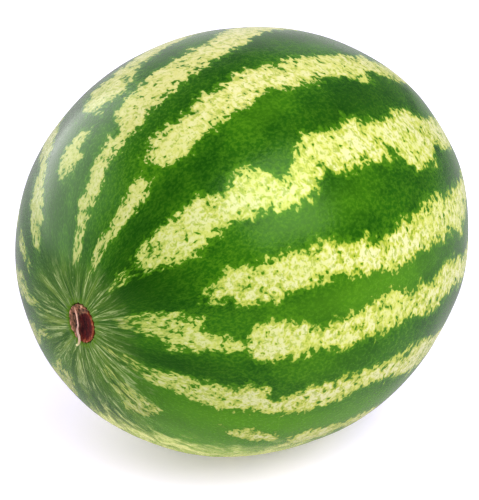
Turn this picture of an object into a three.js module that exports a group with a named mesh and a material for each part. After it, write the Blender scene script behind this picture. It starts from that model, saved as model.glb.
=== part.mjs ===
// A whole watermelon, as picked and lying on its side.
// The fruit is one solid. Its stem end points to -Y and its blossom end to +Y.
// The dried scar of the stem sits in a shallow pocket at the stem end,
// and a torn strand of stem fibre lies across the scar and hangs off its lower edge.
// Millimetres, +Z up, origin under the middle of the melon on the surface that it rests on.

import * as THREE from "three";

// The fruit.
const LENGTH = 298; // stem end to blossom end, before the dimples
const DIAMETER = 260; // mean of the width and the height
const SPREAD = 0.015; // share by which its own weight makes it wider and lower
const TAPER = 0.03; // share by which the stem half is fatter than the blossom half
const REST_DEPTH = 1.6; // how much of the underside is flattened by resting on it

// The dimples: how far each end is drawn in, and how far that reaches from the axis.
const STEM_DIMPLE = { depth: 3.2, reach: 24 };
const BLOSSOM_DIMPLE = { depth: 2.4, reach: 15 };

// The stem scar and the pocket that it sits in. It is an oval whose long axis stands nearly upright.
const SCAR_RADIUS = 11.4; // half of its long axis
const SCAR_NARROWING = 0.24; // share by which the skin is squeezed across the long axis, at the very end
const SCAR_LEAN = THREE.MathUtils.degToRad(8); // of the long axis, its upper end towards -X
const SCAR_FLOOR = 1.3; // thickness of the corky cushion inside the rim
const SCAR_RIM = 2.6; // height of the rim above the pocket's floor
const SCAR_RIM_WIDTH = 1.7;
const GAP = 0.35; // clearance between pieces that touch
const POCKET_DEPTH = SCAR_RIM + GAP;

// The torn fibre: half of its width and of its thickness.
const FIBRE_HALF_WIDTH = 0.9;
const FIBRE_HALF_THICKNESS = 0.5;

// Facets.
const STEPS_AROUND = 72;
const STEPS_ALONG = 48;
const SCAR_STEPS = 40;
const FIBRE_STEPS = 26;
const FIBRE_SIDES = 10;

const halfLength = LENGTH / 2;
const radius = DIAMETER / 2;
const pocketRadius = SCAR_RADIUS + GAP;

// How far the skin is drawn in by a dimple at a distance from the axis.
function drawnIn(dimple, distance) {
  return dimple.depth * Math.exp(-((distance / dimple.reach) ** 2));
}

// A point of the skin's outline, from angle 0 at the stem end to PI at the blossom end.
function skinPoint(angle) {
  const cosine = Math.cos(angle);
  const out = radius * Math.sin(angle) * (1 + TAPER * cosine);
  const dimple = cosine > 0 ? STEM_DIMPLE : BLOSSOM_DIMPLE;
  const along = -cosine * halfLength + Math.sign(cosine) * drawnIn(dimple, out);
  return new THREE.Vector2(Math.abs(out), along);
}

// The angle at which the skin's outline stands at a distance from the axis, close to the stem end.
function angleAt(distance) {
  return Math.asin(distance / (radius * (1 + TAPER)));
}

// Turns a round shape about Y into the melon's own: wide and low at the belly, oval at the scar.
function settle(geometry) {
  const position = geometry.getAttribute("position");
  const shortAxis = new THREE.Vector2(Math.cos(SCAR_LEAN), Math.sin(SCAR_LEAN));
  for (let i = 0; i < position.count; i++) {
    const place = new THREE.Vector2(position.getX(i), position.getZ(i));
    const out = place.length();
    const belly = SPREAD * (out / radius) ** 2;
    const nearStem = position.getY(i) < 0 ? Math.exp(-((out / STEM_DIMPLE.reach) ** 2)) : 0;
    place.addScaledVector(shortAxis, -SCAR_NARROWING * nearStem * place.dot(shortAxis));
    position.setX(i, place.x * (1 + belly));
    position.setZ(i, place.y * (1 - belly));
  }
  return geometry;
}

// Presses the underside flat where the fruit rests.
function pressFlat(geometry, lowest) {
  const position = geometry.getAttribute("position");
  for (let i = 0; i < position.count; i++) {
    position.setZ(i, Math.max(position.getZ(i), lowest));
  }
  return geometry;
}

const restHeight = radius * (1 - SPREAD) - REST_DEPTH; // of the axis above the surface
const lipAngle = angleAt(pocketRadius);
const lip = skinPoint(lipAngle);
const pocketFloor = lip.y + POCKET_DEPTH;

function fruitGeometry() {
  const outline = [
    new THREE.Vector2(0, pocketFloor),
    new THREE.Vector2(pocketRadius, pocketFloor),
  ];
  for (let i = 0; i < STEPS_ALONG; i++) {
    outline.push(skinPoint(lipAngle + ((Math.PI - lipAngle) * i) / STEPS_ALONG));
  }
  outline.push(new THREE.Vector2(0, skinPoint(Math.PI).y));
  const round = new THREE.LatheGeometry(outline, STEPS_AROUND);
  return pressFlat(settle(round), -restHeight);
}

function scarGeometry() {
  const back = pocketFloor - GAP;
  const rim = back - SCAR_RIM;
  const cushion = back - SCAR_FLOOR;
  const inner = SCAR_RADIUS - SCAR_RIM_WIDTH;
  const outline = [
    new THREE.Vector2(0, cushion),
    new THREE.Vector2(inner * 0.7, cushion - 0.1),
    new THREE.Vector2(inner, rim + 0.5),
    new THREE.Vector2(SCAR_RADIUS - SCAR_RIM_WIDTH / 2, rim),
    new THREE.Vector2(SCAR_RADIUS, rim + 0.6),
    new THREE.Vector2(SCAR_RADIUS, back),
    new THREE.Vector2(0, back),
  ];
  return settle(new THREE.LatheGeometry(outline, SCAR_STEPS));
}

// The fibre's middle line as [across, proud of the scar's rim, up], from its upper end to its curled tip.
const FIBRE_LINE = [
  [-4.2, 0.8, 9.6],
  [-3.0, 1.0, 7.2],
  [-2.0, 1.1, 3.4],
  [-1.6, 1.1, -1.2],
  [-2.2, 1.1, -4.8],
  [-1.0, 1.2, -8.6],
  [-0.5, 1.7, -11.2],
  [-1.1, 2.4, -12.9],
  [-2.2, 2.8, -13.3],
];

function fibreGeometry() {
  const rim = pocketFloor - GAP - SCAR_RIM;
  const line = new THREE.CatmullRomCurve3(
    FIBRE_LINE.map(([across, proud, up]) => new THREE.Vector3(across, rim - proud, up)),
  );
  const section = new THREE.Shape();
  section.absellipse(0, 0, FIBRE_HALF_THICKNESS, FIBRE_HALF_WIDTH, 0, 2 * Math.PI);
  return new THREE.ExtrudeGeometry(section, {
    extrudePath: line,
    steps: FIBRE_STEPS,
    curveSegments: FIBRE_SIDES,
    bevelEnabled: false,
  });
}

const rind = new THREE.MeshStandardMaterial({ color: 0x2f6b14, roughness: 0.35, metalness: 0 });
const cork = new THREE.MeshStandardMaterial({ color: 0x6b3320, roughness: 0.85, metalness: 0 });
const straw = new THREE.MeshStandardMaterial({ color: 0xd9bd96, roughness: 0.8, metalness: 0 });

function piece(name, geometry, material) {
  const mesh = new THREE.Mesh(geometry, material);
  mesh.name = name;
  return mesh;
}

const melon = new THREE.Group();
melon.add(piece("fruit", fruitGeometry(), rind));
melon.add(piece("stem_scar", scarGeometry(), cork));
melon.add(piece("torn_fibre", fibreGeometry(), straw));

// The origin stands under the middle of the whole melon.
const box = new THREE.Box3().setFromObject(melon, true);
melon.position.set(-(box.min.x + box.max.x) / 2, -(box.min.y + box.max.y) / 2, restHeight);

export default melon;
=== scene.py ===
import math

import bmesh
import bpy
import numpy as np
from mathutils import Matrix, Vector, noise
from mathutils.geometry import interpolate_bezier


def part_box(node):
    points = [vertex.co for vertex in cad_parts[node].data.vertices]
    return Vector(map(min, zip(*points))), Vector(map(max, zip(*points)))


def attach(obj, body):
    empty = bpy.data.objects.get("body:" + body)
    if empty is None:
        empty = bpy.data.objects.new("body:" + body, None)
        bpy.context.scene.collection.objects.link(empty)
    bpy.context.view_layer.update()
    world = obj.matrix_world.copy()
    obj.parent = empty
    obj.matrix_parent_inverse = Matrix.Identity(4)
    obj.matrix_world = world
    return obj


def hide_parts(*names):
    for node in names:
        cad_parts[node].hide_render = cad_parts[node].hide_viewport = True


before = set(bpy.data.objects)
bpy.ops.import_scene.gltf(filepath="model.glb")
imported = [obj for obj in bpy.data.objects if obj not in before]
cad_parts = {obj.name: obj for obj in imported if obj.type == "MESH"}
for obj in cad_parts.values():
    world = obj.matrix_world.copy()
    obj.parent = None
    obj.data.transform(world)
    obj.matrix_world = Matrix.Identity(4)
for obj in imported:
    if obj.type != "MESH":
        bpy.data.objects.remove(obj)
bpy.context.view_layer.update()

# ---------------------------------------------------------------------------------------------------
# The fruit. A watermelon is one berry with a hard rind, ripened lying on the ground. Its skin is drawn
# in where the stem and the flower joined it, it sags a little under its own weight, and it is pressed
# flat where it rests. The stem end points to -Y, the blossom end to +Y.
# ---------------------------------------------------------------------------------------------------

HALF_LENGTH = 0.149
MEAN_RADIUS = 0.130
SPREAD = 0.015  # share by which its weight makes it wider and lower
TAPER = 0.03  # share by which the stem half is fatter than the blossom half
STEM_DIMPLE = (0.0032, 0.024)  # depth, and reach from the axis
BLOSSOM_DIMPLE = (0.0024, 0.015)
POCKET_RADIUS = 0.01175  # of the hole in the skin that the dried stem end fills
POCKET_DEPTH = 0.00295
POCKET_NARROWING = 0.24  # the hole is an oval, squeezed by this share
POCKET_LEAN = math.radians(8)  # of the oval's long axis, its upper end towards -X
FLAT_FLOOR = 0.96  # share of the pocket's radius over which its floor is flat
FLOOR_ROLL = 0.0005  # height by which the floor rounds up to the wall
LIP_ROLL = 0.0011  # radius with which the skin rolls over into the hole
LIP_SWELL = 0.0004  # height of the swollen ring of skin round the hole
LIP_WIDTH = 0.0022
STEPS_AROUND = 384
STEPS_ALONG = 240
END_CROWDING = 0.5  # share by which the rings stand closer together at both ends

fruit_low, fruit_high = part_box("fruit")


def drawn_in(dimple, out):
    """How far a dimple draws the skin in at a distance from the axis."""
    depth, reach = dimple
    return depth * math.exp(-((out / reach) ** 2))


def skin_point(angle):
    """Distance from the axis and place along it, from angle 0 at the stem end to pi at the blossom end."""
    cosine = math.cos(angle)
    out = MEAN_RADIUS * math.sin(angle) * (1 + TAPER * cosine)
    if cosine > 0:
        return out, -cosine * HALF_LENGTH + drawn_in(STEM_DIMPLE, out)
    return out, -cosine * HALF_LENGTH - drawn_in(BLOSSOM_DIMPLE, out)


def lip_shift(out):
    """How far the skin's lip rolls in and swells out close to the hole."""
    from_hole = out - POCKET_RADIUS
    roll = LIP_ROLL * max(0.0, 1 - from_hole / LIP_ROLL) ** 2
    return roll - LIP_SWELL * math.exp(-(((from_hole - LIP_WIDTH) / LIP_WIDTH) ** 2))


def settled(place):
    """A round shape about Y turned into the melon's own: wide and low at the belly, oval at the stem."""
    out = np.hypot(place[:, 0], place[:, 2])
    belly = SPREAD * (out / MEAN_RADIUS) ** 2
    near_stem = np.where(place[:, 1] < 0, np.exp(-((out / STEM_DIMPLE[1]) ** 2)), 0)
    short_axis = np.array([math.cos(POCKET_LEAN), math.sin(POCKET_LEAN)])
    squeeze = POCKET_NARROWING * near_stem * (place[:, [0, 2]] @ short_axis)
    moved = place.copy()
    moved[:, 0] = (place[:, 0] - squeeze * short_axis[0]) * (1 + belly)
    moved[:, 2] = (place[:, 2] - squeeze * short_axis[1]) * (1 - belly)
    return moved


def spun_outline(outline, steps, marks=None):
    """An outline of (out, along) turned once about Y, as a bmesh. Marks become the attribute "station"."""
    bm = bmesh.new()
    station = bm.verts.layers.float.new("station")
    previous = None
    for i, (out, along) in enumerate(outline):
        vert = bm.verts.new((out, along, 0))
        vert[station] = marks[i] if marks else out
        if previous:
            bm.edges.new((previous, vert))
        previous = vert
    bmesh.ops.spin(
        bm, geom=bm.verts[:] + bm.edges[:], cent=(0, 0, 0), axis=(0, 1, 0), dvec=(0, 0, 0),
        angle=math.tau, steps=steps, use_merge=True, use_duplicate=False,
    )
    bmesh.ops.remove_doubles(bm, verts=bm.verts, dist=1e-6)
    bmesh.ops.recalc_face_normals(bm, faces=bm.faces)
    return bm


def mesh_object(name, bm):
    """A smooth-shaded object at the origin, made from a bmesh, which is freed."""
    for face in bm.faces:
        face.smooth = True
    mesh = bpy.data.meshes.new(name)
    bm.to_mesh(mesh)
    bm.free()
    piece = bpy.data.objects.new(name, mesh)
    bpy.context.scene.collection.objects.link(piece)
    return piece


def read(items, name, width=1):
    """One value or vector for each item of a mesh, as an array."""
    values = np.empty(len(items) * width, np.float32)
    items.foreach_get(name, values)
    return values.astype(float) if width == 1 else values.reshape(-1, width).astype(float)


def noise_at(places, size, seed):
    """Smooth noise from about -1 to 1 at each place, with features of a size in metres."""
    shift = Vector((seed, -seed, seed / 2))
    return np.array([noise.noise(Vector(place) / size + shift) for place in places])


lip_angle = math.asin(POCKET_RADIUS / (MEAN_RADIUS * (1 + TAPER)))
pocket_floor = skin_point(lip_angle)[1] + POCKET_DEPTH
outline = [
    (0, pocket_floor), (POCKET_RADIUS * FLAT_FLOOR, pocket_floor), (POCKET_RADIUS, pocket_floor - FLOOR_ROLL),
]
marks = [math.degrees(lip_angle)] * len(outline)
for i in range(STEPS_ALONG + 1):
    share = i / STEPS_ALONG
    share -= END_CROWDING * math.sin(math.tau * share) / math.tau
    angle = lip_angle + (math.pi - lip_angle) * share
    out, along = skin_point(angle)
    out = 0 if i == STEPS_ALONG else out
    outline.append((out, along + lip_shift(out) * (angle < math.pi / 2)))
    marks.append(math.degrees(angle))

fruit = mesh_object("watermelon_fruit", spun_outline(outline, STEPS_AROUND, marks))
place = read(fruit.data.vertices, "co", 3)
station = read(fruit.data.attributes["station"].data, "value")
out = np.hypot(place[:, 0], place[:, 2])
longitude = np.degrees(np.arctan2(place[:, 0], place[:, 2]))  # 0 on top, 90 at +X

# The rind isn't quite even: it is ribbed from end to end, and gently uneven at two sizes. Close to the
# hole the lip is puckered by the strands that ran into the stem.
RIBS = 11
RIB_HEIGHT = 0.0004
RIB_WANDER, RIB_WANDER_SIZE = 2, 0.09  # radians by which a rib leaves its course, and over what length
SWELLS = ((0.055, 0.0008, 3), (0.016, 0.00016, 8))  # size, height, seed
SWELLS_REACHED = 0.02  # distance from the hole at which they have their full height
PUCKERS = 23
PUCKER_HEIGHT = 0.00022
PUCKER_REACH = 0.006
PUCKER_WANDER, PUCKER_WANDER_SIZE = 4, 0.006
ON_LIP = 0.99  # share of the pocket's radius, past which a ring of vertices is skin

wander = RIB_WANDER * noise_at(place, RIB_WANDER_SIZE, 5)
ribs = RIB_HEIGHT * np.cos(RIBS * np.radians(longitude) + wander) * np.sin(np.radians(station)) ** 2
swells = sum(height * noise_at(place, size, seed) for size, height, seed in SWELLS)
swells *= np.clip((out - POCKET_RADIUS) / SWELLS_REACHED, 0, 1)
wander = PUCKER_WANDER * noise_at(place, PUCKER_WANDER_SIZE, 6)
puckers = PUCKER_HEIGHT * np.cos(PUCKERS * np.radians(longitude) + wander)
puckers *= np.exp(-(((out - POCKET_RADIUS) / PUCKER_REACH) ** 2))
puckers *= (station < 90) & (out > POCKET_RADIUS * ON_LIP)
normal = read(fruit.data.vertices, "normal", 3)
place += normal * (ribs + swells + puckers)[:, None]

centre = Vector((
    (fruit_low.x + fruit_high.x) / 2,
    fruit_high.y - skin_point(math.pi)[1],
    fruit_high.z - MEAN_RADIUS * (1 - SPREAD),
))
place = settled(place) + np.array(centre)
place[:, 2] = np.maximum(place[:, 2], fruit_low.z)
fruit.data.vertices.foreach_set("co", place.astype(np.float32).ravel())

# Where the pale stripes run. Each is a list of (degrees from the stem end, and the longitudes of its two
# edges), with longitude 0 on top and 90 at +X. Some stripes are broken into islands.
STRIPES = {
    "crest": (
        (16, -12, -5), (24, -12, -5), (31, -13, -3), (38, -11, -4), (50, -9, -2), (55, -13, -1), (61, -13, 0),
        (72, -10, 0), (80, -8, 1), (86, -9, 2), (97, -13, -3), (110, -11, -2), (125, -10, 0), (141, -8, 0),
        (155, -9, 1), (169, -6, 0),
    ),
    "crest_short": ((14, 7, 13), (22, 8, 16), (28, 10, 18), (38, 10, 18), (41, 12, 16)),
    "upper": (
        (45, 7, 16), (50, 7, 20), (57, 9, 19), (70, 10, 20), (77, 11, 20), (83, 13, 24), (91, 13, 23),
        (98, 15, 27), (103, 17, 29), (109, 19, 27), (115, 19, 30), (124, 22, 32), (137, 22, 33),
        (150, 25, 32), (167, 25, 31),
    ),
    "shoulder_tip": ((16, 36, 40), (19, 34, 42), (22, 36, 41)),
    "shoulder": (
        (25, 34, 44), (28, 32, 46), (31, 32, 48), (37, 33, 50), (45, 33, 47), (50, 36, 46),
        (56, 34, 49), (60, 36, 51), (62, 42, 51), (67, 41, 51), (70, 39, 49), (74, 35, 47), (80, 38, 50),
        (86, 37, 49), (90, 38, 53), (93, 40, 48), (97, 42, 56), (102, 40, 58), (108, 41, 57), (112, 43, 53),
        (119, 46, 57), (130, 44, 57), (143, 46, 54), (157, 46, 56), (170, 48, 53),
    ),
    "side": (
        (36, 63, 70), (40, 61, 71), (43, 60, 73), (50, 62, 74), (55, 62, 74), (66, 62, 73), (72, 66, 76),
        (78, 68, 77), (84, 67, 78), (91, 66, 76), (101, 66, 78), (107, 67, 76), (112, 67, 82), (118, 68, 78),
        (128, 66, 76), (139, 66, 78), (151, 69, 76), (167, 69, 76),
    ),
    "side_short": ((13, 68, 78), (18, 65, 82), (24, 68, 87), (29, 72, 88), (33, 76, 84)),
    "lower_side": (
        (25, 80, 92), (33, 81, 90), (38, 85, 91), (42, 87, 91), (45, 81, 95), (56, 82, 94), (60, 86, 93),
        (66, 85, 94), (73, 84, 93), (79, 82, 93), (85, 85, 92), (95, 86, 96), (100, 84, 94), (106, 85, 94),
        (114, 89, 98), (122, 88, 97), (136, 90, 101), (150, 91, 98), (165, 91, 98),
    ),
    "flank": (
        (9, 106, 118), (22, 109, 120), (28, 105, 119), (38, 107, 120), (49, 105, 118), (51, 113, 119),
        (54, 110, 118), (58, 106, 118), (63, 105, 115), (70, 104, 113), (77, 104, 111), (84, 103, 112),
        (92, 104, 115), (103, 108, 119), (124, 110, 119), (140, 109, 121), (152, 112, 118), (169, 112, 118),
    ),
    "low_patch": ((13, 140, 150), (19, 136, 153), (25, 133, 157), (29, 136, 148)),
    "low_island": ((45, 130, 133), (49, 129, 134), (55, 129, 134), (59, 130, 133)),
    "low": (
        (63, 128, 141), (70, 127, 137), (78, 125, 132), (90, 127, 136), (104, 129, 141), (118, 131, 140),
        (134, 130, 142), (150, 133, 139), (165, 133, 139),
    ),
    "under_far": ((116, 152, 160), (132, 150, 163), (148, 153, 160), (164, 153, 159)),
    "under_stem_far": ((20, 199, 211), (34, 201, 213)),
    "under_blossom": ((112, 196, 206), (126, 194, 208), (142, 197, 206), (161, 198, 204)),
    "back_low": (
        (19, 212, 218), (30, 208, 221), (42, 210, 221), (56, 208, 223), (70, 212, 222), (84, 209, 224),
        (98, 211, 220), (112, 207, 221), (128, 210, 221), (144, 210, 218), (161, 212, 218),
    ),
    "back_side": ((16, 236, 243), (26, 233, 247), (38, 234, 246), (47, 238, 244)),
    "back_side_far": (
        (52, 233, 245), (64, 232, 246), (78, 235, 245), (92, 233, 247), (103, 238, 244), (110, 232, 243),
        (122, 233, 247), (138, 234, 245), (154, 236, 242), (169, 236, 242),
    ),
    "back_middle": (
        (13, 261, 267), (20, 262, 271), (27, 262, 278), (34, 263, 272), (44, 260, 270), (56, 259, 272),
        (66, 262, 269), (78, 258, 270), (92, 257, 268), (106, 259, 271), (120, 257, 267), (138, 258, 269),
        (154, 259, 265), (168, 259, 265),
    ),
    "back_upper_island": ((23, 287, 292), (28, 286, 294), (34, 287, 293)),
    "back_upper": (
        (41, 284, 290), (50, 282, 293), (62, 283, 294), (75, 281, 291), (85, 284, 290), (91, 280, 290),
        (105, 279, 292), (120, 281, 291), (136, 280, 290), (152, 282, 288), (166, 281, 287),
    ),
    "back_top": (
        (23, 305, 311), (28, 304, 317), (34, 306, 319), (40, 308, 317), (45, 312, 318), (52, 306, 317),
        (66, 304, 314), (78, 303, 315), (92, 305, 314), (106, 303, 316), (120, 302, 313), (136, 304, 314),
        (152, 304, 311), (167, 305, 310),
    ),
    "crest_island": ((37, 331, 336), (41, 328, 340), (45, 330, 339), (49, 335, 339)),
    "crest_back": (
        (55, 331, 339), (59, 329, 342), (63, 327, 343), (70, 330, 341), (76, 332, 339), (88, 329, 340),
        (98, 326, 339), (110, 326, 336), (125, 327, 337), (141, 328, 336), (156, 327, 334), (169, 328, 333),
    ),
}
MM_PER_DEGREE_ALONG = 2.44
MM_PER_DEGREE_AROUND = MEAN_RADIUS * 1000 * math.pi / 180  # at the belly
FURTHEST_FROM_STRIPE = -30  # mm, beyond which the skin looks the same
DEEP_IN_STRIPE, THIN_IN_STRIPE = 5.0, 0.9  # mm from the edge, at the belly and at the stem
THIN_START, THIN_END = 40, 16  # degrees from the stem end
THINNED = 0.6  # mm by which a stripe's edges draw in at the stem


def turned(degrees):
    """Degrees brought between -180 and 180."""
    return (degrees + 180) % 360 - 180


stripe = np.full(len(place), float(FURTHEST_FROM_STRIPE))
for knots in STRIPES.values():
    at, near_edge, far_edge = np.array(knots, float).T
    middle = np.interp(station, at, (near_edge + far_edge) / 2)
    half_width = np.interp(station, at, (far_edge - near_edge) / 2)
    inside = (half_width - np.abs(turned(longitude - middle))) * MM_PER_DEGREE_AROUND
    from_end = np.minimum(station - at[0], at[-1] - station) * MM_PER_DEGREE_ALONG
    stripe = np.maximum(stripe, np.minimum(inside, from_end))
# Well inside a stripe the skin is all alike. Towards the stem the stripes are thinner and break up.
near_stem = np.clip((THIN_START - station) / (THIN_START - THIN_END), 0, 1)
deepest = DEEP_IN_STRIPE + (THIN_IN_STRIPE - DEEP_IN_STRIPE) * near_stem
stripe = np.where(stripe > 0, deepest * np.tanh(stripe / deepest), stripe) - THINNED * near_stem

# Where the green is lighter (or darker, below zero) than elsewhere: degrees from the stem end, longitude,
# the half sizes of the area in degrees, and by how much. This is partly the skin's own uneven green and
# partly painted light. The shaded underside is lighter, with its own paler green near the ground spot and
# painted light bounced up from the card, and a lighter patch on the upper +X side is partly a painted
# highlight.
TONES_AND_PAINTED_LIGHT = (
    (22, 48, 12, 24, -1.0), (28, 100, 18, 7, -0.7), (45, 25, 18, 7, -0.4), (92, 34, 22, 7, -0.7),
    (70, 25, 14, 6, 0.4), (72, 56, 22, 6, 0.3), (98, 60, 16, 6, -0.3), (76, 80, 24, 6, 0.7),
    (58, 99, 20, 6, 0.3), (64, 124, 44, 10, 0.9), (52, 148, 40, 16, 1.2), (120, 145, 40, 12, 0.8),
    (60, 212, 50, 14, 0.9), (118, 200, 36, 14, 0.8), (75, 250, 26, 7, -0.5), (50, 275, 24, 7, -0.5),
    (104, 297, 20, 7, -0.6), (60, 325, 24, 8, -0.4), (118, 322, 18, 6, 0.4), (42, 320, 24, 12, -0.5),
    (85, 4, 30, 6, -0.5),
)
tone_and_painted_light = np.zeros(len(place))
for at, around, half_along, half_around, amount in TONES_AND_PAINTED_LIGHT:
    away = ((station - at) / half_along) ** 2 + (turned(longitude - around) / half_around) ** 2
    tone_and_painted_light += amount * np.exp(-away)

# Close to the stem the skin is drawn out in fine lines. They start further from it on the underside than on
# top, and nearest to it at one longitude.
LINES_START, LINES_END = 18, 8  # degrees from the stem end where they start, and where they are strongest
LINES_FURTHER, LINES_SIDE, LINES_REACH = 22, 165, 38  # degrees further at a longitude, and how wide that is
LINES_BACK, LINES_FRONT = 7, 50  # degrees further at the back, and the longitude where they start nearest
lines_start = LINES_START + LINES_FURTHER * np.exp(-((turned(longitude - LINES_SIDE) / LINES_REACH) ** 2))
lines_start += LINES_BACK * (1 - np.cos(np.radians(longitude - LINES_FRONT))) / 2
lined = np.clip((lines_start - station) / (lines_start - LINES_END), 0, 1)

# The cream of the stripes is warmest on top, where the sun reached it.
SUNNY_SIDE, SUNNY_REACH = -4, 33  # degrees of longitude
sunny = np.exp(-((turned(longitude - SUNNY_SIDE) / SUNNY_REACH) ** 2))

# The ground spot is the oval on the underside that lay on the soil and stayed yellow: its place and its
# half sizes in degrees, as (from the stem end, longitude).
SPOT_MIDDLE = (74, 180)
SPOT_HALF = (41, 40)
SPOT_MM = 75  # from its edge to its middle
spot_along = (station - SPOT_MIDDLE[0]) / SPOT_HALF[0]
spot_across = turned(longitude - SPOT_MIDDLE[1]) / SPOT_HALF[1]
spot = SPOT_MM * (1 - np.hypot(spot_along, spot_across))

# Flecks and blotches grew with the skin, so their pattern is laid out as on a drum of the melon's radius: it
# narrows towards the ends. There the skin was also drawn out lengthwise, and the pattern becomes fine lines.
DRAWN_OUT = 0.55  # share by which the pattern's steps along the drum shrink at the very ends
DRAWN_REACH = 22  # degrees
DRUM_STEPS = 720
degrees = np.linspace(0, 180, DRUM_STEPS + 1)
step_scale = 1 - DRAWN_OUT * np.exp(-((np.minimum(degrees, 180 - degrees) / DRAWN_REACH) ** 2))
drum_length = np.cumsum(step_scale) * (degrees[1] - degrees[0]) * MM_PER_DEGREE_ALONG / 1000
drum = np.stack((
    MEAN_RADIUS * np.sin(np.radians(longitude)),
    MEAN_RADIUS * np.cos(np.radians(longitude)),
    np.interp(station, degrees, drum_length),
), axis=1)
for name, kind, values in (
    ("stripe", "FLOAT", stripe), ("tone_and_painted_light", "FLOAT", tone_and_painted_light), ("sunny", "FLOAT", sunny), ("spot", "FLOAT", spot),
    ("lined", "FLOAT", lined), ("drum", "FLOAT_VECTOR", drum),
):
    field = fruit.data.attributes.new(name, kind, "POINT")
    field.data.foreach_set("vector" if kind == "FLOAT_VECTOR" else "value", values.astype(np.float32).ravel())

# A map with longitude across and the distance from the stem end upwards, cut along the underside.
ON_AXIS = 1e-6  # distance from the axis, below which a vertex is at an end of it
corner_vertex = np.empty(len(fruit.data.loops), np.int32)
fruit.data.loops.foreach_get("vertex_index", corner_vertex)
first_corner = np.empty(len(fruit.data.polygons), np.int32)
fruit.data.polygons.foreach_get("loop_start", first_corner)
corners = np.diff(np.append(first_corner, len(corner_vertex)))
across = longitude[corner_vertex]
on_axis = out[corner_vertex] < ON_AXIS
across[on_axis] = -np.inf
face_most = np.repeat(np.maximum.reduceat(across, first_corner), corners)
across[on_axis] = face_most[on_axis]
across[face_most - across > 180] += 360
across = (across + 180) / (360 + 360 / STEPS_AROUND)
unrolled = fruit.data.uv_layers.new(name="OFBake")
map_place = np.stack((across, station[corner_vertex] / 180), axis=1)
unrolled.data.foreach_set("uv", map_place.astype(np.float32).ravel())


def linear(code):
    """An sRGB hex colour as linear red, green, blue and alpha."""
    parts = [int(code[i:i + 2], 16) / 255 for i in (1, 3, 5)]
    return [c / 12.92 if c <= 0.04045 else ((c + 0.055) / 1.055) ** 2.4 for c in parts] + [1]


def add(tree, kind, inputs=None, **settings):
    """Adds a node to a material, with its settings, and its inputs as values or links."""
    node = tree.nodes.new(kind)
    for name, value in settings.items():
        setattr(node, name, value)
    for socket, value in (inputs or {}).items():
        if isinstance(value, bpy.types.NodeSocket):
            tree.links.new(value, node.inputs[socket])
        else:
            node.inputs[socket].default_value = value
    return node


FACTOR, FIRST, SECOND, MIXED = 0, 6, 7, 2  # the sockets of a Mix node set to colours

# Watermelon rind: living skin under a thin wax, which gives a soft, broad gloss and a greyish sheen at its
# edges. The green is mottled in cells about 2 mm across. In the stripes it is nearly gone: what is left of it
# is islands, flecks and olive blotches, and the skin is yellow round them and cream further off.
# The stripes' edges are frayed by lobes, tatters and flecks: size, how many mm it moves them, and its detail.
FRAYS = ((0.014, 12, 1.0), (0.006, 17, 2.0), (0.0028, 11, 2.0))
ROUND_STRETCH = 1.4  # by this the pattern is longer round the fruit, as it swelled, than from end to end
WAVE_SIZE, WAVE = 0.006, 0.004  # how the pattern is bent, in metres
ISLAND_SIZE, ISLAND_MM = 0.0046, 30
ISLAND_LEVEL, ISLAND_RISE = 0.58, 0.13  # islands are common at a stripe's edge and rare in its middle
ISLAND_SPREAD = 0.05  # they are crowded in some places and rare in others
CELL_SIZE, CELL_RELIEF = 0.002, 0.0004
CLOUD_SIZE = 0.03
BORDER_START, BORDER_END = -5.0, -0.6  # mm from a stripe's edge, where the green beside it grows lighter
PALE_START, PALE_END = -0.8, 0.3  # mm, where green gives way to pale
CREAM_START, CREAM_END = -0.5, 6.8  # mm, from the pale skin's border to where it is all cream
OLIVE_SIZE = 0.0032
DULL_START, DULL_END = 70.0, 22.0  # degrees from the stem end
GREYED, WARMED, DULLED = 0.7, 0.45, 0.45  # most of each of these colours that is mixed in
STREAK_SIZE, BROAD_STREAK_SIZE = 0.0038, 0.011
CROWDING = 0.6  # share with which the broad streaks are added to the fine ones
BEND_SIZE, BEND = 0.022, 0.04  # how the lines near the stem are bent, in metres
LINE_STRETCH = 0.45  # share by which steps along the fruit count for the lines, which draws them out
SPOT_RAGGED = 50.0  # mm by which the broad streaks shift the ground spot's edge
SPOT_START, SPOT_END = 8.0, 40.0  # mm, shifted, where the skin turns to the spot's colour
LIP_RING_START, LIP_RING_END = 7.6, 5.3  # degrees from the stem end
BLOSSOM_MARK_START, BLOSSOM_MARK_END = 178.6, 179.6
BLOSSOM_MARK_RAGGED = 2.6  # degrees
GLOSS_TINT = (0.6, 1.0, 0.35, 1.0)  # the sheen at grazing angles stays white

rind = bpy.data.materials.new("watermelon_rind")
rind.use_nodes = True
tree = rind.node_tree
tree.nodes.clear()
drum_place = add(tree, "ShaderNodeAttribute", attribute_name="drum").outputs["Vector"]
stripe_mm = add(tree, "ShaderNodeAttribute", attribute_name="stripe").outputs["Fac"]
tone_and_painted_light_amount = add(tree, "ShaderNodeAttribute", attribute_name="tone_and_painted_light").outputs["Fac"]
sunny_amount = add(tree, "ShaderNodeAttribute", attribute_name="sunny").outputs["Fac"]
spot_mm = add(tree, "ShaderNodeAttribute", attribute_name="spot").outputs["Fac"]
lined_amount = add(tree, "ShaderNodeAttribute", attribute_name="lined").outputs["Fac"]
station_degrees = add(tree, "ShaderNodeAttribute", attribute_name="station").outputs["Fac"]
frayed_place = add(
    tree, "ShaderNodeVectorMath", {0: drum_place, 1: (1, 1, ROUND_STRETCH)}, operation="MULTIPLY",
).outputs[0]
waves = add(
    tree, "ShaderNodeTexNoise", {"Vector": frayed_place, "Scale": 1 / WAVE_SIZE, "Detail": 1.0},
).outputs["Color"]
wavy_place = add(
    tree, "ShaderNodeVectorMath", {0: waves, 1: (WAVE, WAVE, WAVE), 2: frayed_place},
    operation="MULTIPLY_ADD",
).outputs[0]

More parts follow.
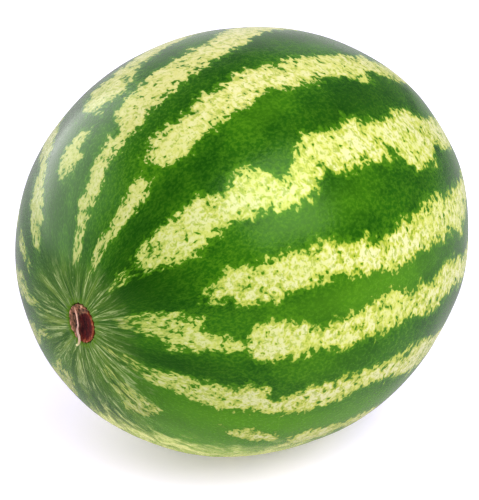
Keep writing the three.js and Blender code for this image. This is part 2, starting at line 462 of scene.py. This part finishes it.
clouds = add(
    tree, "ShaderNodeTexNoise",
    {"Vector": drum_place, "Scale": 1 / CLOUD_SIZE, "Detail": 3.0, "Roughness": 0.6},
).outputs["Fac"]
edge = stripe_mm
for size, reach, detail in FRAYS:
    frays = add(
        tree, "ShaderNodeTexNoise",
        {"Vector": wavy_place, "Scale": 1 / size, "Detail": detail, "Roughness": 0.45},
    ).outputs["Fac"]
    moved = add(tree, "ShaderNodeMath", {0: frays, 1: 0.5}, operation="SUBTRACT").outputs[0]
    edge = add(tree, "ShaderNodeMath", {0: moved, 1: reach, 2: edge}, operation="MULTIPLY_ADD").outputs[0]
island_noise = add(
    tree, "ShaderNodeTexNoise",
    {"Vector": wavy_place, "Scale": 1 / ISLAND_SIZE, "Detail": 1.5, "Roughness": 0.5},
).outputs["Fac"]
island_level = add(
    tree, "ShaderNodeMapRange",
    {
        "Value": clouds, "From Min": 0.35, "From Max": 0.65,
        "To Min": ISLAND_LEVEL + ISLAND_SPREAD, "To Max": ISLAND_LEVEL - ISLAND_SPREAD,
    },
).outputs[0]
island_rise = add(
    tree, "ShaderNodeMapRange", {"Value": stripe_mm, "From Max": DEEP_IN_STRIPE, "To Max": ISLAND_RISE},
).outputs[0]
island_level = add(tree, "ShaderNodeMath", {0: island_level, 1: island_rise}).outputs[0]
from_island = add(
    tree, "ShaderNodeMath", {0: island_level, 1: island_noise}, operation="SUBTRACT",
).outputs[0]
from_island = add(tree, "ShaderNodeMath", {0: from_island, 1: ISLAND_MM}, operation="MULTIPLY").outputs[0]
edge = add(tree, "ShaderNodeMath", {0: edge, 1: from_island}, operation="MINIMUM").outputs[0]

# The dark green between the stripes: mottled cells, darker and lighter clouds, and a lighter border.
cells = add(
    tree, "ShaderNodeTexNoise",
    {"Vector": drum_place, "Scale": 1 / CELL_SIZE, "Detail": 2.0, "Roughness": 0.6},
).outputs["Fac"]
cell_light = add(
    tree, "ShaderNodeMapRange", {"Value": cells, "From Min": 0.38, "From Max": 0.64},
    interpolation_type="SMOOTHSTEP",
).outputs[0]
cloud_light = add(
    tree, "ShaderNodeMapRange", {"Value": clouds, "From Min": 0.36, "From Max": 0.62},
    interpolation_type="SMOOTHSTEP",
).outputs[0]
green_deep = add(
    tree, "ShaderNodeMix", {FACTOR: cloud_light, FIRST: linear("#0b3801"), SECOND: linear("#194902")},
    data_type="RGBA",
).outputs[MIXED]
green_bright = add(
    tree, "ShaderNodeMix", {FACTOR: cloud_light, FIRST: linear("#1c4802"), SECOND: linear("#305b04")},
    data_type="RGBA",
).outputs[MIXED]
green = add(
    tree, "ShaderNodeMix", {FACTOR: cell_light, FIRST: green_deep, SECOND: green_bright}, data_type="RGBA",
).outputs[MIXED]
# Darker and lighter green from the tone table, with painted light among it: a lighter underside and a painted
# highlight.
for most, colour in ((-0.85, "#082f00"), (0.6, "#4b7e04")):
    toned = add(
        tree, "ShaderNodeMath", {0: tone_and_painted_light_amount, 1: most}, operation="MULTIPLY", use_clamp=True,
    ).outputs[0]
    green = add(
        tree, "ShaderNodeMix", {FACTOR: toned, FIRST: green, SECOND: linear(colour)}, data_type="RGBA",
    ).outputs[MIXED]
border_light = add(
    tree, "ShaderNodeMapRange",
    {"Value": edge, "From Min": BORDER_START, "From Max": BORDER_END, "To Max": 0.8},
    interpolation_type="SMOOTHSTEP",
).outputs[0]
green = add(
    tree, "ShaderNodeMix", {FACTOR: border_light, FIRST: green, SECOND: linear("#386504")}, data_type="RGBA",
).outputs[MIXED]

# Towards the stem the green turns greyer.
drawn_out = add(
    tree, "ShaderNodeMapRange", {"Value": lined_amount}, interpolation_type="SMOOTHSTEP",
).outputs[0]
grey_amount = add(tree, "ShaderNodeMath", {0: drawn_out, 1: GREYED}, operation="MULTIPLY").outputs[0]
green = add(
    tree, "ShaderNodeMix", {FACTOR: grey_amount, FIRST: green, SECOND: linear("#435e1a")}, data_type="RGBA",
).outputs[MIXED]

# The pale skin of the stripes: yellow-green at its borders, then lemon to cream, with olive blotches.
creamy = add(
    tree, "ShaderNodeMapRange", {"Value": edge, "From Min": CREAM_START, "From Max": CREAM_END},
).outputs[0]
pale_ramp = add(tree, "ShaderNodeValToRGB", {0: creamy})
pale_ramp.color_ramp.elements[0].color = linear("#42641a")
pale_ramp.color_ramp.elements[1].color = linear("#b2b181")
for position, code in ((0.12, "#647c1c"), (0.28, "#8e972c"), (0.48, "#a5a757"), (0.72, "#aeaf78")):
    pale_ramp.color_ramp.elements.new(position).color = linear(code)
lemon = add(
    tree, "ShaderNodeMapRange", {"Value": clouds, "From Min": 0.48, "From Max": 0.6, "To Max": 0.45},
).outputs[0]
pale = add(
    tree, "ShaderNodeMix", {FACTOR: lemon, FIRST: pale_ramp.outputs[0], SECOND: linear("#a4aa4c")},
    data_type="RGBA",
).outputs[MIXED]
warmth = add(tree, "ShaderNodeMath", {0: sunny_amount, 1: WARMED}, operation="MULTIPLY").outputs[0]
pale = add(
    tree, "ShaderNodeMix", {FACTOR: warmth, FIRST: pale, SECOND: linear("#b4a97a")}, data_type="RGBA",
).outputs[MIXED]
blotches = add(
    tree, "ShaderNodeTexNoise",
    {"Vector": wavy_place, "Scale": 1 / OLIVE_SIZE, "Detail": 2.0, "Roughness": 0.6},
).outputs["Fac"]
olive = add(
    tree, "ShaderNodeMapRange", {"Value": blotches, "From Min": 0.5, "From Max": 0.64, "To Max": 0.75},
    interpolation_type="SMOOTHSTEP",
).outputs[0]
pale = add(
    tree, "ShaderNodeMix", {FACTOR: olive, FIRST: pale, SECOND: linear("#7c8a2a")}, data_type="RGBA",
).outputs[MIXED]
# Towards the stem the pale skin is duller.
dulled = add(
    tree, "ShaderNodeMapRange",
    {"Value": station_degrees, "From Min": DULL_START, "From Max": DULL_END, "To Max": DULLED},
).outputs[0]
pale = add(
    tree, "ShaderNodeMix", {FACTOR: dulled, FIRST: pale, SECOND: linear("#778646")}, data_type="RGBA",
).outputs[MIXED]
is_pale = add(
    tree, "ShaderNodeMapRange", {"Value": edge, "From Min": PALE_START, "From Max": PALE_END},
    interpolation_type="SMOOTHSTEP",
).outputs[0]
skin = add(
    tree, "ShaderNodeMix", {FACTOR: is_pale, FIRST: green, SECOND: pale}, data_type="RGBA",
).outputs[MIXED]

# Towards the stem all of it is drawn out in fine broken lines, pale and dark.
bends = add(
    tree, "ShaderNodeTexNoise", {"Vector": drum_place, "Scale": 1 / BEND_SIZE, "Detail": 2.0},
).outputs["Color"]
bent_place = add(
    tree, "ShaderNodeVectorMath", {0: bends, 1: (BEND, BEND, BEND), 2: drum_place},
    operation="MULTIPLY_ADD",
).outputs[0]
line_place = add(
    tree, "ShaderNodeVectorMath", {0: bent_place, 1: (1, 1, LINE_STRETCH)}, operation="MULTIPLY",
).outputs[0]
streaks = add(
    tree, "ShaderNodeTexNoise",
    {"Vector": line_place, "Scale": 1 / STREAK_SIZE, "Detail": 3.0, "Roughness": 0.7},
).outputs["Fac"]
broad_streaks = add(
    tree, "ShaderNodeTexNoise", {"Vector": line_place, "Scale": 1 / BROAD_STREAK_SIZE, "Detail": 2.0},
).outputs["Fac"]
# Pale lines crowd where the broad streaks are pale, and dark ones where they are dark.
crowded = add(
    tree, "ShaderNodeMath", {0: broad_streaks, 1: CROWDING, 2: streaks}, operation="MULTIPLY_ADD",
).outputs[0]
for noise_of, start, end, colour, most in (
    (clouds, 0.47, 0.36, "#1c4604", 0.8), (clouds, 0.53, 0.66, "#66792c", 0.65),
    (broad_streaks, 0.47, 0.34, "#1d4205", 0.6), (broad_streaks, 0.52, 0.68, "#667c42", 0.6),
    (crowded, 0.76, 0.62, "#1a3d08", 0.8), (crowded, 0.84, 1.0, "#98a46a", 0.8),
):
    lines = add(
        tree, "ShaderNodeMapRange",
        {"Value": noise_of, "From Min": start, "From Max": end, "To Max": most},
        interpolation_type="SMOOTHSTEP",
    ).outputs[0]
    lines = add(tree, "ShaderNodeMath", {0: lines, 1: drawn_out}, operation="MULTIPLY").outputs[0]
    skin = add(
        tree, "ShaderNodeMix", {FACTOR: lines, FIRST: skin, SECOND: linear(colour)}, data_type="RGBA",
    ).outputs[MIXED]

# The ground spot, with a soft and blotchy edge.
spot_edge = add(
    tree, "ShaderNodeMath", {0: broad_streaks, 1: SPOT_RAGGED, 2: spot_mm}, operation="MULTIPLY_ADD",
).outputs[0]
on_spot = add(
    tree, "ShaderNodeMapRange",
    {"Value": spot_edge, "From Min": SPOT_START, "From Max": SPOT_END, "To Max": 0.9},
    interpolation_type="SMOOTHSTEP",
).outputs[0]
spot_streaks = add(
    tree, "ShaderNodeMapRange", {"Value": crowded, "From Min": 0.66, "From Max": 0.98},
    interpolation_type="SMOOTHSTEP",
).outputs[0]
spot_colour = add(
    tree, "ShaderNodeMix", {FACTOR: spot_streaks, FIRST: linear("#92a838"), SECOND: linear("#d2d47c")},
    data_type="RGBA",
).outputs[MIXED]
skin = add(
    tree, "ShaderNodeMix", {FACTOR: on_spot, FIRST: skin, SECOND: spot_colour}, data_type="RGBA",
).outputs[MIXED]

# A tight ring of fresh green where the skin meets the dried stem.
at_lip = add(
    tree, "ShaderNodeMapRange",
    {"Value": station_degrees, "From Min": LIP_RING_START, "From Max": LIP_RING_END, "To Max": 0.75},
    interpolation_type="SMOOTHSTEP",
).outputs[0]
skin = add(
    tree, "ShaderNodeMix", {FACTOR: at_lip, FIRST: skin, SECOND: linear("#41620a")}, data_type="RGBA",
).outputs[MIXED]

# The mark of the flower: a small corky button at the far end.
at_blossom = add(
    tree, "ShaderNodeMath", {0: streaks, 1: BLOSSOM_MARK_RAGGED, 2: station_degrees},
    operation="MULTIPLY_ADD",
).outputs[0]
blossom_mark = add(
    tree, "ShaderNodeMapRange",
    {"Value": at_blossom, "From Min": BLOSSOM_MARK_START, "From Max": BLOSSOM_MARK_END, "To Max": 0.95},
    interpolation_type="SMOOTHSTEP",
).outputs[0]
skin = add(
    tree, "ShaderNodeMix", {FACTOR: blossom_mark, FIRST: skin, SECOND: linear("#6f5a33")}, data_type="RGBA",
).outputs[MIXED]

# The wax is a little smoother in some cells than in others.
wax = add(
    tree, "ShaderNodeMapRange",
    {"Value": cells, "From Min": 0.3, "From Max": 0.7, "To Min": 0.2, "To Max": 0.3},
).outputs[0]
bump = add(tree, "ShaderNodeBump", {"Height": cells, "Strength": 0.22, "Distance": CELL_RELIEF}).outputs[0]
principled = add(
    tree, "ShaderNodeBsdfPrincipled",
    {
        "Base Color": skin, "Roughness": wax, "Normal": bump, "IOR": 1.45, "Specular IOR Level": 0.26,
        "Specular Tint": GLOSS_TINT,
    },
)
add(tree, "ShaderNodeOutputMaterial", {"Surface": principled.outputs[0]})
fruit.data.materials.append(rind)
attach(fruit, "root")
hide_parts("fruit")

# ---------------------------------------------------------------------------------------------------
# The stem scar. Where the stem broke off, its end dried to a shallow cup of brown cork in the fruit's
# skin. It has a thin raised rim, torn strands of wood along it, and pits on its paler side.
# ---------------------------------------------------------------------------------------------------

SCAR_RADIUS = 0.0116
SCAR_THICKNESS = 0.0026
SCAR_RINGS = 34
SCAR_STEPS = 120
WORN_EDGE = ((SCAR_RADIUS * 0.985, 0.0001), (SCAR_RADIUS, 0.0004))  # out from the axis, back from the front
CUP_DEPTH, CUP_POWER = 0.0013, 5  # the higher the power, the flatter the cup's floor
RIM_WIDTH = 0.0011
RIM_UNEVEN, RIM_UNEVEN_SIZE = 0.0004, 0.0019
PALE_SIDE, TOP_SIDE = -0.0022, 0.0066  # left of and above these the cork is paler and stands higher
PALE_BLEND, TOP_BLEND = 0.0006, 0.0009  # how soft those borders are
TOP_SPREAD = 0.009  # how far the paler cork reaches to the right along the top
BORDER_WANDER, BORDER_WANDER_SIZE = 0.0024, 0.0026
PALE_RISE, PALE_FILLING = 0.0006, 0.35  # its height, and the share by which the cup is shallower there
STRAND_HEIGHT, STRAND_SIZE, STRAND_STRETCH = 0.0006, 0.0011, 0.28
LUMP_HEIGHT, LUMP_SIZE, LUMPS_ON_RED = 0.0007, 0.0016, 0.4  # the last is their share on the redder cork
CRUMB_HEIGHT, CRUMB_SIZE = 0.0003, 0.0006
PITS = (
    (-0.0046, 0.0020, 0.0011, 0.0015), (-0.0051, -0.0022, 0.0012, 0.0015), (-0.0070, 0.0039, 0.0009, 0.0013),
)  # across, up, half width, depth

scar_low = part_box("stem_scar")[0]
outline = [(SCAR_RADIUS * i / SCAR_RINGS, 0) for i in range(SCAR_RINGS)]
outline += [*WORN_EDGE, (SCAR_RADIUS, SCAR_THICKNESS), (0, SCAR_THICKNESS)]
scar = mesh_object("dried_stem_scar", spun_outline(outline, SCAR_STEPS))
place = read(scar.data.vertices, "co", 3)
out = np.hypot(place[:, 0], place[:, 2])
front = place[:, 1] < SCAR_THICKNESS / 2
cup = CUP_DEPTH * (1 - np.clip(out / (SCAR_RADIUS - RIM_WIDTH / 2), 0, 1) ** CUP_POWER)
top_spread = TOP_SPREAD / (1 + np.exp((TOP_SIDE - place[:, 2]) / TOP_BLEND))
pale_border = PALE_SIDE + top_spread + BORDER_WANDER * noise_at(place, BORDER_WANDER_SIZE, 11)
pale_side = 1 / (1 + np.exp((place[:, 0] - pale_border) / PALE_BLEND))
strands = noise_at(place * (1, 1, STRAND_STRETCH), STRAND_SIZE, 4)
lumps = noise_at(place, LUMP_SIZE, 9)
crumbs = noise_at(place, CRUMB_SIZE, 2)
ragged_rim = np.exp(-(((out - SCAR_RADIUS + RIM_WIDTH / 2) / (RIM_WIDTH / 2)) ** 2))
relief = -cup * (1 - PALE_FILLING * pale_side) + pale_side * PALE_RISE * (1 - (out / SCAR_RADIUS) ** 4)
relief += (
    STRAND_HEIGHT * np.abs(strands) * (1 - pale_side) + LUMP_HEIGHT * lumps * (LUMPS_ON_RED + pale_side)
    + CRUMB_HEIGHT * crumbs
)
relief += RIM_UNEVEN * ragged_rim * noise_at(place, RIM_UNEVEN_SIZE, 7)
for across, up, width, depth in PITS:
    relief -= depth * np.exp(-(((place[:, 0] - across) ** 2 + (place[:, 2] - up) ** 2) / width ** 2))
relief = np.where(front, relief, 0)
place[:, 1] += scar_low.y - relief
scar_centre = np.array([centre.x, 0, centre.z])
place[:, [0, 2]] = settled(place)[:, [0, 2]]
place += scar_centre
scar.data.vertices.foreach_set("co", place.astype(np.float32).ravel())
height = scar.data.attributes.new("height", "FLOAT", "POINT")
height.data.foreach_set("value", (relief * 1000).astype(np.float32))
side = scar.data.attributes.new("pale_side", "FLOAT", "POINT")
side.data.foreach_set("value", pale_side.astype(np.float32))

# Dried stem tissue: dead, corky wood with hardly any gloss. Its colour follows its height: deep places
# are nearly black, which is painted shade in the hollows and pits, and raised, worn ones are tan, partly
# painted highlight on the ridges.
# The strands are drawn about 1 mm wide, coarser than the real fibres, so that they show.
GRAIN_SIZE, GRAIN_STRETCH, GRAIN_RELIEF = 0.0012, 0.25, 0.0003
GRAIN_MM = 3.4  # of height that the grain counts for in the colour
DARKEST_MM, PALEST_MM = -0.4, 2.6

cork = bpy.data.materials.new("dried_stem_cork")
cork.use_nodes = True
tree = cork.node_tree
tree.nodes.clear()
own_place = add(tree, "ShaderNodeTexCoord").outputs["Object"]
strand_place = add(
    tree, "ShaderNodeVectorMath", {0: own_place, 1: (1, 1, GRAIN_STRETCH)}, operation="MULTIPLY",
).outputs[0]
grain = add(
    tree, "ShaderNodeTexNoise",
    {"Vector": strand_place, "Scale": 1 / GRAIN_SIZE, "Detail": 3.0, "Roughness": 0.65},
).outputs["Fac"]
height_mm = add(tree, "ShaderNodeAttribute", attribute_name="height").outputs["Fac"]
# The height darkens the hollows as painted shade and lightens the ridges, partly as painted highlight.
height_shade_level = add(
    tree, "ShaderNodeMath", {0: grain, 1: GRAIN_MM, 2: height_mm}, operation="MULTIPLY_ADD",
).outputs[0]
height_shade_level = add(
    tree, "ShaderNodeMapRange", {"Value": height_shade_level, "From Min": DARKEST_MM, "From Max": PALEST_MM},
).outputs[0]
red_wood = add(tree, "ShaderNodeValToRGB", {0: height_shade_level})
red_wood.color_ramp.elements[0].color = linear("#1c0304")
red_wood.color_ramp.elements[1].color = linear("#a87455")
for position, code in ((0.25, "#300405"), (0.45, "#470a08"), (0.62, "#5e1d0a"), (0.8, "#7c3c20")):
    red_wood.color_ramp.elements.new(position).color = linear(code)
pale_wood = add(tree, "ShaderNodeValToRGB", {0: height_shade_level})
pale_wood.color_ramp.elements[0].color = linear("#090302")
pale_wood.color_ramp.elements[1].color = linear("#b88c70")
for position, code in ((0.3, "#1e1009"), (0.5, "#453122"), (0.66, "#66462f"), (0.82, "#875a42")):
    pale_wood.color_ramp.elements.new(position).color = linear(code)
on_pale_side = add(tree, "ShaderNodeAttribute", attribute_name="pale_side").outputs["Fac"]
wood = add(
    tree, "ShaderNodeMix",
    {FACTOR: on_pale_side, FIRST: red_wood.outputs[0], SECOND: pale_wood.outputs[0]}, data_type="RGBA",
).outputs[MIXED]
bump = add(tree, "ShaderNodeBump", {"Height": grain, "Strength": 0.6, "Distance": GRAIN_RELIEF}).outputs[0]
principled = add(
    tree, "ShaderNodeBsdfPrincipled",
    {"Base Color": wood, "Roughness": 0.8, "Normal": bump, "IOR": 1.4, "Specular IOR Level": 0.2},
)
add(tree, "ShaderNodeOutputMaterial", {"Surface": principled.outputs[0]})
scar.data.materials.append(cork)
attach(scar, "root")
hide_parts("stem_scar")

# ---------------------------------------------------------------------------------------------------
# The torn fibre. One strand of the stem's wood stayed behind: it lies down the scar from its upper edge,
# hangs over the lower rim and curls up at its tip. It is flat, ribbed along its length and dry.
# ---------------------------------------------------------------------------------------------------

FIBRE_LINE = (
    (-0.0042, 0.0008, 0.0096), (-0.0030, 0.0010, 0.0072), (-0.0020, 0.0011, 0.0034),
    (-0.0016, 0.0011, -0.0012), (-0.0022, 0.0011, -0.0048), (-0.0010, 0.0012, -0.0086),
    (-0.0005, 0.0017, -0.0112), (-0.0011, 0.0024, -0.0129), (-0.0022, 0.0028, -0.0133),
)  # across, proud of the scar's front, up
FIBRE_WIDTHS = (
    (0, 0.0002), (0.1, 0.0005), (0.42, 0.0005), (0.58, 0.0010),
    (0.74, 0.0009), (0.86, 0.0006), (0.95, 0.0006), (1, 0.0001),
)  # share of its length, and half of its width there
FIBRE_HALF_THICKNESS = 0.00035
FIBRE_RIBS, RIB_DEPTH, RIB_TWIST = 5, 0.16, 3  # the depth is a share of the thickness, the twist in radians
FIBRE_UNEVEN, FIBRE_UNEVEN_SIZE = 0.00012, 0.0012
FIBRE_SIDES = 24
STEPS_PER_STRETCH = 9


def through(points, steps):
    """A smooth line through given points."""
    ends = [points[0] * 2 - points[1], *points, points[-1] * 2 - points[-2]]
    line = []
    for before, start, end, after in zip(ends, ends[1:], ends[2:], ends[3:]):
        leaving = start + (end - before) / 6
        arriving = end - (after - start) / 6
        line += interpolate_bezier(start, leaving, arriving, end, steps + 1)[:-1]
    return line + [points[-1]]


path = through(
    [Vector((centre.x + across, scar_low.y - proud, centre.z + up)) for across, proud, up in FIBRE_LINE],
    STEPS_PER_STRETCH,
)
bm = bmesh.new()
turn = bm.verts.layers.float.new("turn")
along_fibre = bm.verts.layers.float.new("along")
ring = bmesh.ops.create_circle(bm, cap_ends=True, segments=FIBRE_SIDES, radius=1)["verts"]
for vert in ring:
    vert[turn] = math.atan2(vert.co.y, vert.co.x)
rim_edges = bm.edges[:]
bmesh.ops.reverse_faces(bm, faces=bm.faces)
share_at, half_widths = np.array(FIBRE_WIDTHS).T
for i, point in enumerate(path):
    if i:
        made = bmesh.ops.extrude_edge_only(bm, edges=rim_edges)["geom"]
        ring = [item for item in made if isinstance(item, bmesh.types.BMVert)]
        rim_edges = [item for item in made if isinstance(item, bmesh.types.BMEdge)]
        rim_edges = [edge for edge in rim_edges if edge.verts[0] in ring and edge.verts[1] in ring]
    share = i / (len(path) - 1)
    tangent = (path[min(i + 1, len(path) - 1)] - path[max(i - 1, 0)]).normalized()
    sideways = tangent.cross(Vector((0, -1, 0))).normalized()
    outwards = sideways.cross(tangent)
    half_width = np.interp(share, share_at, half_widths)
    for vert in ring:
        ribbed = 1 + RIB_DEPTH * math.cos(FIBRE_RIBS * vert[turn] + RIB_TWIST * share)
        offset = sideways * math.cos(vert[turn]) * half_width
        offset += outwards * math.sin(vert[turn]) * min(FIBRE_HALF_THICKNESS, half_width) * ribbed
        vert.co = point + offset
        vert[along_fibre] = share
bmesh.ops.contextual_create(bm, geom=rim_edges)
bmesh.ops.recalc_face_normals(bm, faces=bm.faces)
fibre = mesh_object("torn_stem_fibre", bm)
place = read(fibre.data.vertices, "co", 3)
place += FIBRE_UNEVEN * np.stack([noise_at(place, FIBRE_UNEVEN_SIZE, seed) for seed in (1, 2, 3)], axis=1)
fibre.data.vertices.foreach_set("co", place.astype(np.float32).ravel())

# Bast fibre: dry, silky strands, straw-pale at the tip and stained pinkish brown where it lies on the cork.
# The strands are drawn about 0.5 mm wide, coarser than the real ones, so that they show.
BAST_SIZE, BAST_STRETCH, BAST_RELIEF = 0.0005, 0.12, 0.0002

bast = bpy.data.materials.new("dry_bast_fibre")
bast.use_nodes = True
tree = bast.node_tree
tree.nodes.clear()
own_place = add(tree, "ShaderNodeTexCoord").outputs["Object"]
strand_place = add(
    tree, "ShaderNodeVectorMath", {0: own_place, 1: (1, 1, BAST_STRETCH)}, operation="MULTIPLY",
).outputs[0]
strands = add(
    tree, "ShaderNodeTexNoise", {"Vector": strand_place, "Scale": 1 / BAST_SIZE, "Detail": 2.0},
).outputs["Fac"]
along = add(tree, "ShaderNodeAttribute", attribute_name="along").outputs["Fac"]
stain = add(tree, "ShaderNodeValToRGB", {0: along})
stain.color_ramp.elements[0].color = linear("#8c5a42")
stain.color_ramp.elements[1].color = linear("#c3cc94")
for position, code in (
    (0.2, "#b88c74"), (0.5, "#a98677"), (0.7, "#a58a72"), (0.82, "#a79a6c"), (0.92, "#b5b67f"),
):
    stain.color_ramp.elements.new(position).color = linear(code)
dark_strands = add(
    tree, "ShaderNodeMapRange", {"Value": strands, "From Min": 0.5, "From Max": 0.35, "To Max": 0.5},
).outputs[0]
straw = add(
    tree, "ShaderNodeMix", {FACTOR: dark_strands, FIRST: stain.outputs[0], SECOND: linear("#8a5a3a")},
    data_type="RGBA",
).outputs[MIXED]
bump = add(tree, "ShaderNodeBump", {"Height": strands, "Strength": 0.5, "Distance": BAST_RELIEF}).outputs[0]
principled = add(
    tree, "ShaderNodeBsdfPrincipled", {"Base Color": straw, "Roughness": 0.65, "Normal": bump, "IOR": 1.5},
)
add(tree, "ShaderNodeOutputMaterial", {"Surface": principled.outputs[0]})
fibre.data.materials.append(bast)
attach(fibre, "root")
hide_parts("torn_fibre")

# ---------------------------------------------------------------------------------------------------
# The table: a wide sheet of matt white card in a white studio. Its faint violet tint offsets the green that
# the melon throws on it. It glows faintly, which lightens the shadow under the melon, and it is greyer where
# the wax mirrors it than where the eye sees it.
# ---------------------------------------------------------------------------------------------------

FLOOR_SIZE = 6.0

bm = bmesh.new()
bmesh.ops.create_grid(bm, x_segments=1, y_segments=1, size=FLOOR_SIZE / 2)
floor = mesh_object("white_card", bm)
card = bpy.data.materials.new("matt_white_card")
card.use_nodes = True
tree = card.node_tree
ray = add(tree, "ShaderNodeLightPath").outputs
principled = tree.nodes["Principled BSDF"]
reflected = add(
    tree, "ShaderNodeMix",
    {FACTOR: ray["Is Glossy Ray"], FIRST: linear("#ebe3ff"), SECOND: linear("#949494")}, data_type="RGBA",
).outputs[MIXED]
tree.links.new(reflected, principled.inputs["Base Color"])
principled.inputs["Roughness"].default_value = 0.9
principled.inputs["Emission Color"].default_value = linear("#ffffff")
principled.inputs["Emission Strength"].default_value = 0.2
floor.data.materials.append(card)

# The studio: white light from all round, dimmer where the wax mirrors it.
LIGHT, MIRRORED, SEEN = 1.45, 0.25, 1.0

world = bpy.data.worlds.new("white_studio")
world.use_nodes = True
tree = world.node_tree
ray = add(tree, "ShaderNodeLightPath").outputs
lighting = add(
    tree, "ShaderNodeMapRange", {"Value": ray["Is Glossy Ray"], "To Min": LIGHT, "To Max": MIRRORED},
).outputs[0]
strength = add(
    tree, "ShaderNodeMapRange", {"Value": ray["Is Camera Ray"], "To Min": lighting, "To Max": SEEN},
).outputs[0]
tree.links.new(strength, tree.nodes["Background"].inputs["Strength"])
tree.nodes["Background"].inputs["Color"].default_value = linear("#ffffff")
bpy.context.scene.world = world


def direction(azimuth, elevation):
    """The unit vector from the melon towards an azimuth and an elevation, with azimuth 0 at the stem end."""
    around, up = math.radians(azimuth), math.radians(elevation)
    return Vector((math.sin(around) * math.cos(up), -math.cos(around) * math.cos(up), math.sin(up)))


# Square softboxes that face the melon. The key stands high on the +X side and lights it. The other two stand
# low on the -X side and behind, and only give the wax a sheen.
LAMPS = (
    ("key", 75, 48, 1.8, 1.2, 30, True), ("left", -72, 4, 1.7, 2.5, 74, False),
    ("back", -132, 8, 1.9, 1.8, 7, False),
)  # azimuth, elevation, distance, width, power, and whether it lights

for name, azimuth, elevation, distance, size, power, lights in LAMPS:
    lamp = bpy.data.lights.new(name + "_softbox", "AREA")
    lamp.size = size
    lamp.energy = power
    holder = bpy.data.objects.new(name + "_softbox", lamp)
    holder.location = centre + direction(azimuth, elevation) * distance
    holder.visible_diffuse = lights
    holder.rotation_euler = direction(azimuth, elevation).to_track_quat("Z", "Y").to_euler()
    bpy.context.scene.collection.objects.link(holder)

# The camera looks down at the stem end and the +X side through a long lens.
CAMERA_AZIMUTH, CAMERA_ELEVATION, CAMERA_DISTANCE = 39.8, 25.5, 1.2

camera = bpy.data.objects.new("camera", bpy.data.cameras.new("camera"))
camera.data.lens = 140.5
camera.data.sensor_width = 36
camera.data.shift_x = -0.0162
camera.data.shift_y = -0.0248
camera.location = centre + direction(CAMERA_AZIMUTH, CAMERA_ELEVATION) * CAMERA_DISTANCE
camera.rotation_euler = direction(CAMERA_AZIMUTH, CAMERA_ELEVATION).to_track_quat("Z", "Y").to_euler()
bpy.context.scene.collection.objects.link(camera)
bpy.context.scene.camera = camera
bpy.context.scene.view_settings.view_transform = "Standard"
